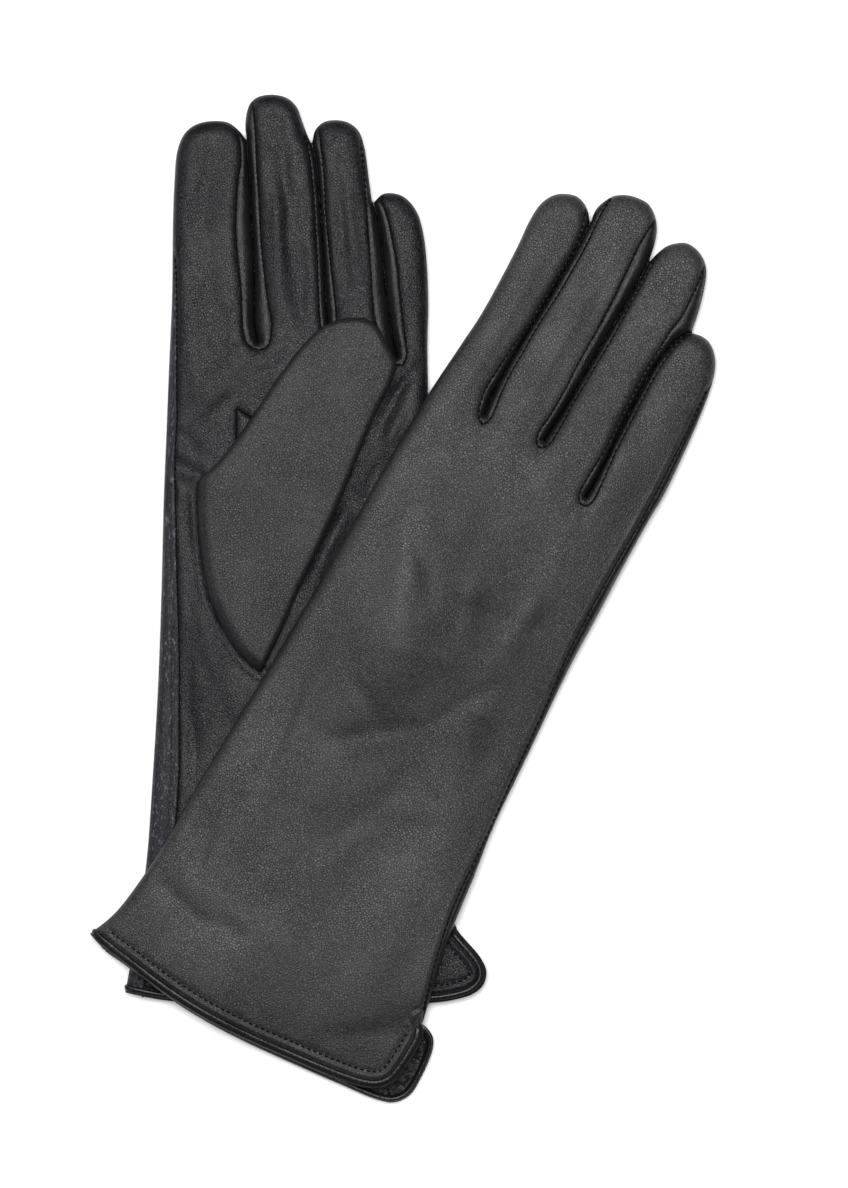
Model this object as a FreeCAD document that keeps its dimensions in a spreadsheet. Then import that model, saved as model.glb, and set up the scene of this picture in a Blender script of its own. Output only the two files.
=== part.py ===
"""A pair of long leather dress gloves, lying flat one on the other.

The left glove lies palm up, with its thumb folded over the palm. The right glove lies across its cuff,
back up, with its thumb folded underneath. Each glove is drawn in a frame of its own: x across the hand
from the index side to the little-finger side, y from the hem to the fingertips, z up. A placement then
turns it and moves it to where it lies. Sizes are in millimetres.
"""
import FreeCAD, Part

import math
import os

import Sketcher
from FreeCAD import Placement, Rotation, Vector

FAR = 400.0
DRAPE_STEP = 6.0
UP = Vector(0, 0, 1)

DIMENSIONS = {
    # a glove lying flat, and the leather and lining it is made of
    "glove_height": 8.0,
    "leather": 0.8,
    "lining": 0.5,
    "ease": 0.05,
    "binding_height": 1.6,
    "thumb_height": 6.0,
    "clearance": 0.4,
    "floor_clearance": 0.3,
    "facing_depth": 18.0,
    "vent_top": 17.5,
    # where each glove lies, and how far it is turned
    "left_x": -32.48,
    "left_y": -129.715,
    "left_turn": 2.0,
    "right_x": -52.28,
    "right_y": -135.115,
    "right_turn": 24.5,
    # the right glove lies over the left one's little-finger edge and falls to the floor beyond it
    "fall_start": 4.0,
    "fall_width": 25.0,
    "thumb_mound": 22.0,
    "mound_margin": 6.0,
    # the right thumb sits a little further from the index edge
    "right_thumb_shift": 6.5,
    # the fingertip centres, which divide the walls between the strips sewn into them
    "left_index_tip": -21.8,
    "left_middle_tip": 0.0,
    "left_ring_tip": 21.0,
    "left_little_tip": 41.0,
    "right_index_tip": -12.5,
    "right_middle_tip": 7.5,
    "right_ring_tip": 30.0,
    "right_little_tip": 48.0,
}

# An outline is a list of points, counter-clockwise from the index end of the hem. A point marked ROUND
# is the middle of an arc through it and its two neighbours: a fingertip, or the crotch between two fingers.
ROUND = True

LEFT_OUTLINE = [
    (-60.3, 0.5), (-44, -3), (0, -5.2), (41, -6.5), (54.5, -4), (60.5, 2.5), (58.8, 8), (51, 17.5),
    (47.5, 60), (44.5, 98), (45, 130), (46.5, 165), (48.2, 200), (49.1, 228), (48.4, 249), (46.6, 256.8),
    (40.6, 264.1, ROUND), (33.4, 260.8), (35.6, 238), (36.9, 222), (39, 209.3),
    (38.2, 208.3, ROUND), (37.4, 209.1), (35.3, 221.5), (34, 238), (31.3, 264), (29.4, 279.5),
    (21, 289.3, ROUND), (12.9, 280.5), (14.9, 264), (15.6, 240), (16.2, 214),
    (15.4, 213.2, ROUND), (14.6, 214), (14, 240), (13.3, 264), (9.8, 288),
    (0, 298.4, ROUND), (-9.6, 288.5), (-8.3, 272), (-7.9, 244), (-8.1, 216),
    (-8.9, 215.2, ROUND), (-9.7, 216), (-9.5, 244), (-9.9, 272), (-10.9, 281),
    (-21.8, 290.6, ROUND), (-33.2, 280), (-35, 262), (-36.4, 235), (-38.5, 207), (-41, 172),
    (-43.2, 140), (-45.4, 107), (-48.4, 74), (-51.8, 43), (-56, 20),
]
RIGHT_OUTLINE = [
    (-57.7, -1), (-51, -4.3), (-32.4, -8.1), (-3, -12), (25, -12.4), (46.5, -11.8), (57.5, -10.5),
    (62.2, -5), (62.8, 5), (61, 14), (56, 18),
    (52.8, 39), (51, 58), (50.1, 85), (50.9, 136), (52.5, 166), (54.2, 195), (56.2, 215), (56.2, 238),
    (55, 253.5), (49, 264.5, ROUND), (43, 263.8), (37.6, 255.5), (35.3, 245), (34.3, 227), (33.8, 199.5),
    (33, 198.7, ROUND), (32.2, 199.5), (32.6, 227), (33.7, 246), (36, 257.2), (41, 266), (40, 279),
    (30, 291.4, ROUND), (20, 281), (19.2, 268), (16.7, 241), (16.1, 224), (13.4, 211.5),
    (12.4, 210.7, ROUND), (11.8, 211.9), (14.6, 226), (15.1, 241), (17.6, 268), (18.2, 287),
    (7.5, 298.5, ROUND), (-4.2, 287.5), (-3.8, 274), (-5.6, 254), (-8.5, 228), (-8.4, 210.6),
    (-9.2, 209.8, ROUND), (-10, 210.6), (-10.1, 228), (-7.2, 254), (-5.4, 274), (-4.7, 282),
    (-12.5, 290.6, ROUND), (-22.3, 280), (-22.5, 268), (-24, 250), (-26, 230), (-29.4, 211),
    (-31.6, 192), (-34.1, 165), (-36.6, 138), (-39, 111), (-42.3, 86), (-45.6, 61), (-47.2, 40),
    (-49.5, 24), (-53, 9),
]

# The folded thumb: its root lies along the straight edge that the outline closes with.
THUMB_OUTLINE = [
    (-11, 105.8), (-4, 119), (10.2, 147), (24.7, 178.5), (36.3, 203), (32, 219.3, ROUND), (19, 222.3),
    (5, 212.7), (-11.4, 190.5), (-23, 176), (-29.5, 170),
]
THUMB_HOLE = [(-25, 161), (-12.5, 117.5), (-6.5, 121.5), (-1.5, 134), (-14, 168), (-21.5, 169)]
QUIRK_OUTLINE = [(-17, 194.5), (-17.5, 180), (-8, 187.5)]

# The band round the hem and the vent that the binding covers, closed well outside the glove.
LEFT_RIM = [
    (-75, 3.6), (-75, -40), (75, -40), (75, 17.5), (48, 17.5), (55.8, 6.5), (57.2, 3), (53, -1.3),
    (41, -3.5), (0, -2.2), (-44, 0), (-60, 3.6),
]
RIGHT_RIM = [
    (-75, 2.5), (-75, -40), (80, -40), (80, 18), (52, 18), (58, 12.2), (59.8, 4.5), (59.2, -4),
    (56, -7.7), (46, -8.8), (25, -9.4), (-3, -9), (-32.4, -5.1), (-51, -1.3), (-58, 2.5),
]

# The side seams. The back's leather reaches over the index edge to the first, and the palm's reaches
# over the little-finger edge to the second.
LEFT_INDEX_SEAM = [
    (-37, 264), (-34.8, 243), (-35.4, 215), (-36.6, 188), (-37.9, 125), (-38.6, 98), (-40.3, 75),
    (-43.2, 55), (-50, 25), (-59, -20),
]
RIGHT_INDEX_SEAM = [
    (-25.5, 264), (-23, 243), (-26, 215), (-28.6, 188), (-31.8, 125), (-33.8, 98), (-35.7, 75),
    (-37.5, 55), (-42.3, 25), (-57, -20),
]
LEFT_LITTLE_SEAM = [
    (50.5, 262), (47, 246), (46.6, 223), (45.6, 195), (43.4, 150), (42.2, 100), (43.5, 75), (44.8, 56),
    (48, 17.5),
]
RIGHT_LITTLE_SEAM = [
    (57.5, 262), (54.6, 246), (53.8, 223), (52, 195), (48.6, 150), (48.6, 100), (47.5, 75),
    (48.5, 56), (52, 17.5),
]

# The left glove's little-finger edge as it lies, in the pair's frame: (y, x) from fingers to cuff.
LEFT_EDGE = [(75, 10), (-34, 10), (-68, 13), (-110, 18), (-124, 28), (-170, 42)]

doc = FreeCAD.newDocument("gloves")


def make_sheet():
    sheet = doc.addObject("Spreadsheet::Sheet", "Sheet")
    for row, (name, value) in enumerate(DIMENSIONS.items(), start=1):
        sheet.set(f"A{row}", name)
        sheet.set(f"B{row}", str(value))
        sheet.setAlias(f"B{row}", name)
    doc.recompute()
    return sheet


sheet = make_sheet()


def size(name):
    return float(sheet.get(name))


def bind(thing, **expressions):
    for prop, expression in expressions.items():
        thing.setExpression(prop.replace("__", "."), expression)
    return thing


def sketch(name, outline):
    """A closed, fully dimensioned sketch through the outline's points."""
    drawing = doc.addObject("Sketcher::SketchObject", name)
    corners = [Vector(p[0], p[1], 0) for p in outline]
    is_round = [len(p) == 3 for p in outline]
    count = len(outline)
    ends = []
    for i in range(count):
        if is_round[i]:
            continue
        following = (i + 1) % count
        if not is_round[following]:
            edge = drawing.addGeometry(Part.LineSegment(corners[i], corners[following]))
            ends.append((corners[i], edge, 1, corners[following], edge, 2))
            continue
        beyond = (i + 2) % count
        turn = (corners[following] - corners[i]).cross(corners[beyond] - corners[following]).z
        if turn > 0:
            arc = Part.ArcOfCircle(corners[i], corners[following], corners[beyond])
        else:
            arc = Part.ArcOfCircle(corners[beyond], corners[following], corners[i])
        edge = drawing.addGeometry(arc)
        first, last = (1, 2) if turn > 0 else (2, 1)
        ends.append((corners[i], edge, first, corners[beyond], edge, last))
        drawing.addConstraint(Sketcher.Constraint("DistanceY", -1, 1, edge, 3, arc.Center.y))
    for i, (start, edge, first, _, _, _) in enumerate(ends):
        _, _, _, _, before, last = ends[i - 1]
        drawing.addConstraint(Sketcher.Constraint("Coincident", before, last, edge, first))
        drawing.addConstraint(Sketcher.Constraint("DistanceX", -1, 1, edge, first, start.x))
        drawing.addConstraint(Sketcher.Constraint("DistanceY", -1, 1, edge, first, start.y))
    return drawing


def prism(name, profile):
    """The full-height block that stands on a profile."""
    block = doc.addObject("Part::Extrusion", name)
    block.Base = profile
    block.DirMode = "Custom"
    block.Dir = UP
    block.LengthFwd = FAR
    block.LengthRev = FAR
    block.Solid = True
    return block


def inset(name, profile, distance):
    """A profile moved inwards all round by a distance."""
    face = doc.addObject("Part::Face", name + "_face")
    face.Sources = [profile]
    inner = doc.addObject("Part::Offset2D", name)
    inner.Source = face
    inner.Mode = "Skin"
    inner.Join = "Tangent"
    return bind(inner, Value=f"-({distance})")


def common(name, *things):
    both = doc.addObject("Part::MultiCommon", name)
    both.Shapes = list(things)
    return both


def fuse(name, *things):
    whole = doc.addObject("Part::MultiFuse", name)
    whole.Shapes = list(things)
    return whole


def cut(name, base, *tools):
    """Base without the tools."""
    for number, tool in enumerate(tools, start=1):
        rest = doc.addObject("Part::Cut", name if number == len(tools) else f"{name}_{number}")
        rest.Base = base
        rest.Tool = tool
        base = rest
    return base


def column(name, low, high, bottom=-FAR):
    """A block over the strip of the plane between two x values, from a y value to beyond the fingertips."""
    block = doc.addObject("Part::Box", name)
    block.Height = 2 * FAR
    block.Length = FAR
    block.Width = 2 * FAR
    block.Placement.Base = Vector(-FAR, bottom, -FAR)
    if low is not None and high is not None:
        bind(block, Length=f"{high} - ({low})")
    if low is not None:
        bind(block, Placement__Base__x=low)
    else:
        bind(block, Placement__Base__x=f"{high} - {FAR}")
    return block


def smooth(ratio):
    ratio = min(max(ratio, 0.0), 1.0)
    return ratio * ratio * (3 - 2 * ratio)


def edge_place(y):
    """Where the left glove's little-finger edge is, at a height y of the pair's frame."""
    for (high, x_high), (low, x_low) in zip(LEFT_EDGE, LEFT_EDGE[1:]):
        if y >= low:
            return x_high + (x_low - x_high) * min(max((high - y) / (high - low), 0.0), 1.0)
    return LEFT_EDGE[-1][1]


def height_over_left(x, y):
    """The height of something soft that lies over the left glove, at a point of the pair's frame."""
    low = size("floor_clearance")
    high = size("glove_height") + size("clearance")
    fall = smooth((x - edge_place(y) - size("fall_start")) / size("fall_width"))
    return high + (low - high) * fall


def distance_outside(point, outline):
    """How far a point is outside a closed outline, or 0 inside it."""
    inside = False
    nearest = FAR
    for start, end in zip(outline, outline[1:] + outline[:1]):
        span = Vector(end[0] - start[0], end[1] - start[1], 0)
        reach = Vector(point.x - start[0], point.y - start[1], 0)
        along = min(max(reach.dot(span) / span.dot(span), 0.0), 1.0)
        nearest = min(nearest, (reach - span * along).Length)
        if (start[1] > point.y) != (end[1] > point.y):
            crossing = start[0] + (point.y - start[1]) * span.x / span.y
            inside = inside != (point.x < crossing)
    return 0.0 if inside else nearest


def end_multiplicities(count):
    """How often each knot of a cubic curve with that many poles counts: fully at its two ends."""
    return [4] + [1] * (count - 4) + [4]


def drape(name, place, mound):
    """A surface over the right glove's own frame: the height at which its underside lies."""
    shift = size("right_thumb_shift")
    lobe = [(p[0] + shift, p[1]) for p in THUMB_OUTLINE]
    columns = int(180 / DRAPE_STEP) + 1
    rows = int(366 / DRAPE_STEP) + 1
    grid = []
    for i in range(columns):
        line = []
        for j in range(rows):
            point = Vector(-90 + i * DRAPE_STEP, -38 + j * DRAPE_STEP, 0)
            there = place.multVec(point)
            lift = height_over_left(there.x, there.y)
            if mound:
                outside = distance_outside(point, lobe) - size("mound_margin")
                over_thumb = 1 - smooth(outside / size("thumb_mound"))
                lift += (size("thumb_height") + size("clearance")) * over_thumb
            line.append(Vector(point.x, point.y, lift))
        grid.append(line)
    surface = Part.BSplineSurface()
    surface.buildFromPolesMultsKnots(
        grid, end_multiplicities(columns), end_multiplicities(rows),
        list(range(columns - 2)), list(range(rows - 2)), False, False, 3, 3)
    underside = doc.addObject("Part::Feature", name)
    underside.Shape = surface.toShape()
    return underside


def layer(name, under, start, height):
    """The space between two heights over a surface, or over the floor where there is no surface."""
    if under is None:
        block = doc.addObject("Part::Box", name)
        block.Length = FAR
        block.Width = 2 * FAR
        block.Placement.Base = Vector(-FAR / 2, -FAR / 2, 0)
    else:
        block = doc.addObject("Part::Extrusion", name)
        block.Base = under
        block.DirMode = "Custom"
        block.Dir = UP
        block.Solid = True
    bind(block, **{"Height" if under is None else "LengthFwd": height})
    return bind(block, Placement__Base__z=start)


def zone_left_of(side, name, seam):
    """The block on the index side of a seam line."""
    corners = [(-FAR / 2, seam[-1][1])] + list(reversed(seam)) + [(-FAR / 2, seam[0][1])]
    return prism(f"{side}_{name}", sketch(f"{side}_{name}_sketch", corners))


def zone_right_of(side, name, seam):
    """The block on the little-finger side of a seam line."""
    corners = [(FAR / 2, seam[0][1])] + seam + [(FAR / 2, seam[-1][1])]
    return prism(f"{side}_{name}", sketch(f"{side}_{name}_sketch", corners))


def settle(part, side, node):
    """Name a finished sub-part and lay it where its glove lies."""
    part.Label = f"{side}_{node}"
    axis = UP if side == "left" else -UP
    part.Placement = Placement(Vector(), Rotation(axis, size(f"{side}_turn")))
    bind(part, Placement__Base__x=f"Sheet.{side}_x", Placement__Base__y=f"Sheet.{side}_y")
    bind(part, Placement__Rotation__Angle=f"Sheet.{side}_turn")
    return part


def place_of(side):
    axis = UP if side == "left" else -UP
    return Placement(Vector(size(f"{side}_x"), size(f"{side}_y"), 0), Rotation(axis, size(f"{side}_turn")))


class Glove:
    """What the sub-parts of one glove share: its outline, its layers and its zones."""

    def __init__(self, side, outline, rim, index_seam, little_seam, under, thumb_under, thumb_shift):
        self.side = side
        self.under = under
        self.thumb_under = thumb_under
        self.thumb_shift = thumb_shift
        self.outline = sketch(f"{side}_outline", outline)
        self.block = prism(f"{side}_block", self.outline)
        self.hollow = self.inner("hollow", "Sheet.leather")
        self.rim = prism(f"{side}_rim", sketch(f"{side}_rim_sketch", rim))
        self.index_strip = zone_left_of(side, "index_strip", index_seam)
        self.little_strip = zone_right_of(side, "little_strip", little_seam)
        self.hole = self.thumb_zone("hole", THUMB_HOLE)
        self.gusset = self.thumb_zone("gusset", QUIRK_OUTLINE)
        self.floor = self.layer("floor", "0", "Sheet.leather")
        self.roof = self.layer("roof", "Sheet.glove_height - Sheet.leather", "Sheet.leather")
        middle = self.layer("middle", "Sheet.leather", "Sheet.glove_height - 2 * Sheet.leather")
        walls = cut(f"{side}_wall_ring", self.block, self.hollow)
        self.walls = common(f"{side}_walls", walls, middle)
        palm_up = side == "left"
        self.palm_layer = self.roof if palm_up else self.floor
        self.back_layer = self.floor if palm_up else self.roof

    def name(self, word):
        return f"{self.side}_{word}_shape"

    def tip(self, finger):
        return f"Sheet.{self.side}_{finger}_tip"

    def layer(self, word, start, height):
        return layer(self.name(word), self.under, start, height)

    def thumb_layer(self, word, start, height):
        """A layer of the folded thumb, which lies on the left palm, or under the right one."""
        if self.side == "left":
            start = f"Sheet.glove_height + Sheet.floor_clearance + {start}"
        return layer(self.name(word), self.thumb_under, start, height)

    def inner(self, word, distance):
        return prism(self.name(word), inset(self.name(word + "_inset"), self.outline, distance))

    def thumb_zone(self, word, outline):
        moved = [(p[0] + self.thumb_shift,) + tuple(p[1:]) for p in outline]
        return prism(self.name(word), sketch(self.name(word + "_sketch"), moved))

    def back_panel(self):
        """The back of the hand and fingers, the wall of the index side, and its lip on the palm face."""
        sheet_part = common(self.name("back_sheet"), self.block, self.back_layer)
        sheet_part = cut(self.name("back_trimmed"), sheet_part, self.little_strip)
        lip = common(self.name("back_lip"), self.block, self.palm_layer, self.index_strip)
        side_wall = common(self.name("index_wall"), self.walls, column(
            self.name("index_column"), None, self.tip("index")))
        whole = fuse(self.name("back_whole"), sheet_part, lip, side_wall)
        return settle(cut(f"{self.side}_back", whole, self.rim), self.side, "back_panel")

    def palm_panel(self):
        """The palm and finger fronts, the wall of the little-finger side, and its lip on the back."""
        sheet_part = common(self.name("palm_sheet"), self.block, self.palm_layer)
        sheet_part = cut(self.name("palm_trimmed"), sheet_part, self.index_strip, self.hole, self.gusset)
        lip = common(self.name("palm_lip"), self.block, self.back_layer, self.little_strip)
        side_wall = common(self.name("little_wall"), self.walls, column(
            self.name("little_column"), self.tip("little"), None, size("vent_top")))
        whole = fuse(self.name("palm_whole"), sheet_part, lip, side_wall)
        return settle(cut(f"{self.side}_palm", whole, self.rim), self.side, "palm_panel")

    def fourchette(self, first, second):
        """The strip round the gap between two fingers."""
        gap = column(self.name(f"{first}_{second}_column"), self.tip(first), self.tip(second), 185)
        strip = common(f"{self.side}_{first}_{second}", self.walls, gap)
        return settle(strip, self.side, f"fourchette_{first}_{second}")

    def quirk(self):
        piece = common(f"{self.side}_quirk_piece", self.gusset, self.palm_layer)
        return settle(piece, self.side, "quirk")

    def thumb(self):
        """A flat pouch, open over the palm's thumb hole."""
        lobe = sketch(self.name("thumb_sketch"), [
            (p[0] + self.thumb_shift,) + tuple(p[1:]) for p in THUMB_OUTLINE])
        self.lobe = lobe
        outside = common(self.name("thumb_outside"), prism(self.name("thumb_block"), lobe),
                         self.thumb_layer("thumb_full", "0", "Sheet.thumb_height"))
        hollow = inset(self.name("thumb_inset"), lobe, "Sheet.leather")
        inside = common(self.name("thumb_inside"), prism(self.name("thumb_hollow"), hollow),
                        self.thumb_layer("thumb_space", "Sheet.leather",
                                         "Sheet.thumb_height - 2 * Sheet.leather"))
        return settle(cut(f"{self.side}_thumb_piece", outside, inside, self.thumb_mouth()),
                      self.side, "thumb")

    def thumb_mouth(self):
        """The part of the thumb hole's column that opens the wall next to the palm."""
        if self.side == "left":
            reach = self.thumb_layer("mouth_layer", "0", "Sheet.thumb_height / 2")
        else:
            reach = self.thumb_layer("mouth_layer", "Sheet.thumb_height / 2", "Sheet.thumb_height")
        return common(self.name("mouth"), self.hole, reach)

    def thumb_lining(self):
        gap = "Sheet.leather + Sheet.ease"
        inner = gap + " + Sheet.lining"
        outside = prism(self.name("tl_outside"), inset(self.name("tl_outer_inset"), self.lobe, gap))
        inside = prism(self.name("tl_inside"), inset(self.name("tl_inner_inset"), self.lobe, inner))
        full = common(self.name("tl_full"), outside, self.thumb_layer(
            "tl_full_layer", gap, f"Sheet.thumb_height - 2 * ({gap})"))
        space = common(self.name("tl_space"), inside, self.thumb_layer(
            "tl_space_layer", inner, f"Sheet.thumb_height - 2 * ({inner})"))
        mouth = doc.getObject(self.name("mouth"))
        return settle(cut(f"{self.side}_thumb_lining_piece", full, space, mouth),
                      self.side, "thumb_lining")

    def lining(self):
        """A thin glove inside the glove, from the facings to the fingertips."""
        gap = "Sheet.leather + Sheet.ease"
        inner = gap + " + Sheet.lining"
        full = common(self.name("lining_full"), self.inner("lining_outside", gap), self.layer(
            "lining_layer", gap, f"Sheet.glove_height - 2 * ({gap})"))
        space = common(self.name("lining_space"), self.inner("lining_inside", inner), self.layer(
            "lining_space_layer", inner, f"Sheet.glove_height - 2 * ({inner})"))
        cuff = doc.getObject(self.name("cuff_block"))
        return settle(cut(f"{self.side}_lining_piece", full, space, cuff, self.hole),
                      self.side, "lining")

    def cuff_block(self):
        """The part of the glove that the facings line, from the hem up."""
        block = doc.addObject("Part::Box", self.name("cuff_block"))
        block.Length = FAR
        block.Width = FAR
        block.Height = 2 * FAR
        block.Placement.Base = Vector(-FAR / 2, -FAR, -FAR)
        return bind(block, Placement__Base__y=f"Sheet.facing_depth - {FAR}")

    def facings(self, cuff):
        """The two leather strips inside the cuff, one on the back and one on the palm."""
        plan = self.inner("facing_plan", "Sheet.leather + Sheet.ease")
        low = self.layer("facing_low", "Sheet.leather", "Sheet.leather")
        high = self.layer("facing_high", "Sheet.glove_height - 2 * Sheet.leather", "Sheet.leather")
        palm_up = self.side == "left"
        for node, level in (("back_facing", low if palm_up else high),
                            ("palm_facing", high if palm_up else low)):
            strip = common(self.name(node + "_strip"), plan, cuff, level)
            yield settle(cut(f"{self.side}_{node}_piece", strip, self.rim), self.side, node)

    def cuff_binding(self):
        """The rolled strip round the hem and up both edges of the vent."""
        band = common(self.name("rim_band"), self.block, self.rim)
        low = common(self.name("binding_low"), band, self.layer(
            "binding_low_layer", "0", "Sheet.binding_height"))
        high = common(self.name("binding_high"), band, self.layer(
            "binding_high_layer", "Sheet.glove_height - Sheet.binding_height", "Sheet.binding_height"))
        fold = common(self.name("binding_fold"), self.walls, self.rim, column(
            self.name("fold_column"), None, self.tip("index")))
        edge = cut(self.name("binding_edge"), fold, self.hollow)
        ring = fuse(f"{self.side}_binding_ring", low, high, edge)
        return settle(ring, self.side, "cuff_binding")

    def pieces(self):
        cuff = self.cuff_block()
        yield self.back_panel()
        yield self.palm_panel()
        yield self.fourchette("index", "middle")
        yield self.fourchette("middle", "ring")
        yield self.fourchette("ring", "little")
        yield self.quirk()
        yield self.thumb()
        yield self.thumb_lining()
        yield self.lining()
        yield from self.facings(cuff)
        yield self.cuff_binding()


def check(thing):
    """Stop at an object that failed or a sub-part with no sound shape."""
    if "Invalid" in thing.State or "Error" in thing.State:
        raise RuntimeError(f"{thing.Label} is {thing.State}")


def main():
    right_place = place_of("right")
    left = Glove("left", LEFT_OUTLINE, LEFT_RIM, LEFT_INDEX_SEAM, LEFT_LITTLE_SEAM, None, None, 0)
    right = Glove("right", RIGHT_OUTLINE, RIGHT_RIM, RIGHT_INDEX_SEAM, RIGHT_LITTLE_SEAM,
                  drape("right_underside", right_place, True),
                  drape("right_thumb_underside", right_place, False), size("right_thumb_shift"))
    parts = list(left.pieces()) + list(right.pieces())
    doc.recompute()
    for thing in doc.Objects:
        check(thing)
    os.makedirs("parts", exist_ok=True)
    for part in parts:
        if part.Shape.isNull() or not part.Shape.isValid():
            raise RuntimeError(f"{part.Label} has no sound shape")
    for part in parts:
        box = part.Shape.BoundBox
        print(f"{part.Label:30s} solids {len(part.Shape.Solids)} volume {part.Shape.Volume:9.1f} mm3, "
              f"z {box.ZMin:.2f} to {box.ZMax:.2f}")
        part.Shape.exportStep(f"parts/{part.Label}.step")


main()
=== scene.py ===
"""A pair of long black leather dress gloves, lying flat: the left palm up, the right across its cuff.

Each glove is drawn in millimetres in a frame of its own: x across the hand from the index side to the
little-finger side, y from the hem to the fingertips. A glove is an upper and a lower layer of leather,
each cut along its seams into the real pieces and lifted into its soft shape. The right glove is draped
over the left one and over its own folded thumb. No simulation is run: every height is worked out below.
"""
import math

import bpy
import numpy as np
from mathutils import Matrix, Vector, kdtree, noise
from mathutils.geometry import delaunay_2d_cdt


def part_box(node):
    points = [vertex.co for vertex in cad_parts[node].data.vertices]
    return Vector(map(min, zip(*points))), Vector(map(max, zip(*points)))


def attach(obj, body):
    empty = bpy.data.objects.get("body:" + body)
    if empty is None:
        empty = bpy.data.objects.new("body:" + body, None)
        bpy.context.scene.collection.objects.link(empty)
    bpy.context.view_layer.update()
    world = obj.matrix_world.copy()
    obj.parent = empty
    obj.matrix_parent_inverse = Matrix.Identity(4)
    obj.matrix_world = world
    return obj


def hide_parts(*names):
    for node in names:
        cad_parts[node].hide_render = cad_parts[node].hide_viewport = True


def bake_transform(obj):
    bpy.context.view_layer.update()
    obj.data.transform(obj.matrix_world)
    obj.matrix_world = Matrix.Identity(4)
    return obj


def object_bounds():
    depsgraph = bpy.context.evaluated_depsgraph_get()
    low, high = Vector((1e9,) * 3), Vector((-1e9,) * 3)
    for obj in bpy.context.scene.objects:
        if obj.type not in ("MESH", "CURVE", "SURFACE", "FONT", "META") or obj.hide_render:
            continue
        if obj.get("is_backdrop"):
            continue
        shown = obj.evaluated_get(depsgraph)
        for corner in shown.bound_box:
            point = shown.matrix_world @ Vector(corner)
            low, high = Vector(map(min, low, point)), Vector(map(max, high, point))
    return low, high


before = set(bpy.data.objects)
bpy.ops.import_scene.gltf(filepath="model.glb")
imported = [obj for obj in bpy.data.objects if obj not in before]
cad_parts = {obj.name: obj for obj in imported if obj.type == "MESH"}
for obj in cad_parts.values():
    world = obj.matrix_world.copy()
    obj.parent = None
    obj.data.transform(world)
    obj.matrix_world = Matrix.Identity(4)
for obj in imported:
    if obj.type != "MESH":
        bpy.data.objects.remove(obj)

CAD_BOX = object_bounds()

MM = 0.001
# How far each glove is turned on the table, anticlockwise in degrees, and how far the right glove's thumb
# stands across from where the left one's does.
LEFT_TURN = 2.0
RIGHT_TURN = -24.5
RIGHT_THUMB_SHIFT = 6.5
# A glove that lies flat is thinnest at its hem, and thickens up to the hand.
HEM_THICKNESS = 5.0
HAND_EXTRA = 2.6
HAND_START = 190
# Half the width of the slit between two fingers.
SLIT = 0.05
# Radii of the rounded edges: the lower layer's, the upper one's at the cuff and what it gains at the
# fingers, the upper one's between the fingers, and a broader one that rounds its middle.
LOWER_ROUND = 5.5
CUFF_ROUND = 3.8
FINGER_ROUND = 1.2
SLOT_ROUND = 3.6
MIDDLE_ROUND = 9
# For a glove that lies palm up, and for one that lies palm down: how much its middle is rounded too, and
# its waves, as the rise of the broad ones, the seed of their noise and the rise of the narrower ones.
ROUNDNESS = {True: 0.46, False: 0.16}
WAVES = {True: (1.3, 3.1, 0.4), False: (1.0, 8.4, 0.55)}
FOLD_DEPTH = 0.8
# The folded thumb: its height, the width over which it grows out of its seam, and its round edge.
THUMB_HEIGHT = 4.6
THUMB_JOIN = 4.5
THUMB_ROUND = 2.3
# Skins: their thickness, how far the inner ones lie inside the leather's outer face, how far the facings
# reach in from the hem, and where the lining starts.
PANEL_LEATHER = 0.6
THUMB_LEATHER = 0.5
FACING_LEATHER = 0.4
KNIT = 0.3
FACING_INSET = 0.95
LINING_INSET = 1.6
THUMB_LINING_INSET = 1.3
FACING_DEPTH = 17.0
LINING_START = 14.0
# The bound hem: how far inside its edge the middle of its binding and its row of stitches lie.
BINDING_CENTRE = 1.35
STITCH_GROOVE = 5.5
# Bands of relief: each one's distance from its line, its rise and its half-width.
SEAM_BANDS = ((0, -0.48, 0.55), (1.35, 0.16, 0.6))
HEM_BANDS = ((2.7, -0.5, 0.5), (4.0, 0.42, 0.75), (STITCH_GROOVE, -0.45, 0.45))
# Spacings of the points along curves, of the triangles on each side, and of the height maps' cells, and
# the corners of the height maps.
CURVE_STEP = 0.8
SEAM_STEP = 0.7
UPPER_GRID = 1.4
LOWER_GRID = 2.6
DRAPE_CELL = 1.5
DRAPE_LOW = (-84, -32)
DRAPE_HIGH = (84, 316)
# The right glove as it is laid down: its gaps over the left one and over its own thumb, and how fast the
# thumb under it, its lower face and its smoother upper face sag between high places.
GLOVE_GAP = 0.7
THUMB_GAP = 0.9
THUMB_SAG = 0.003
GLOVE_SAG = 0.0015
ROOF_SAG = 0.0002

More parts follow.
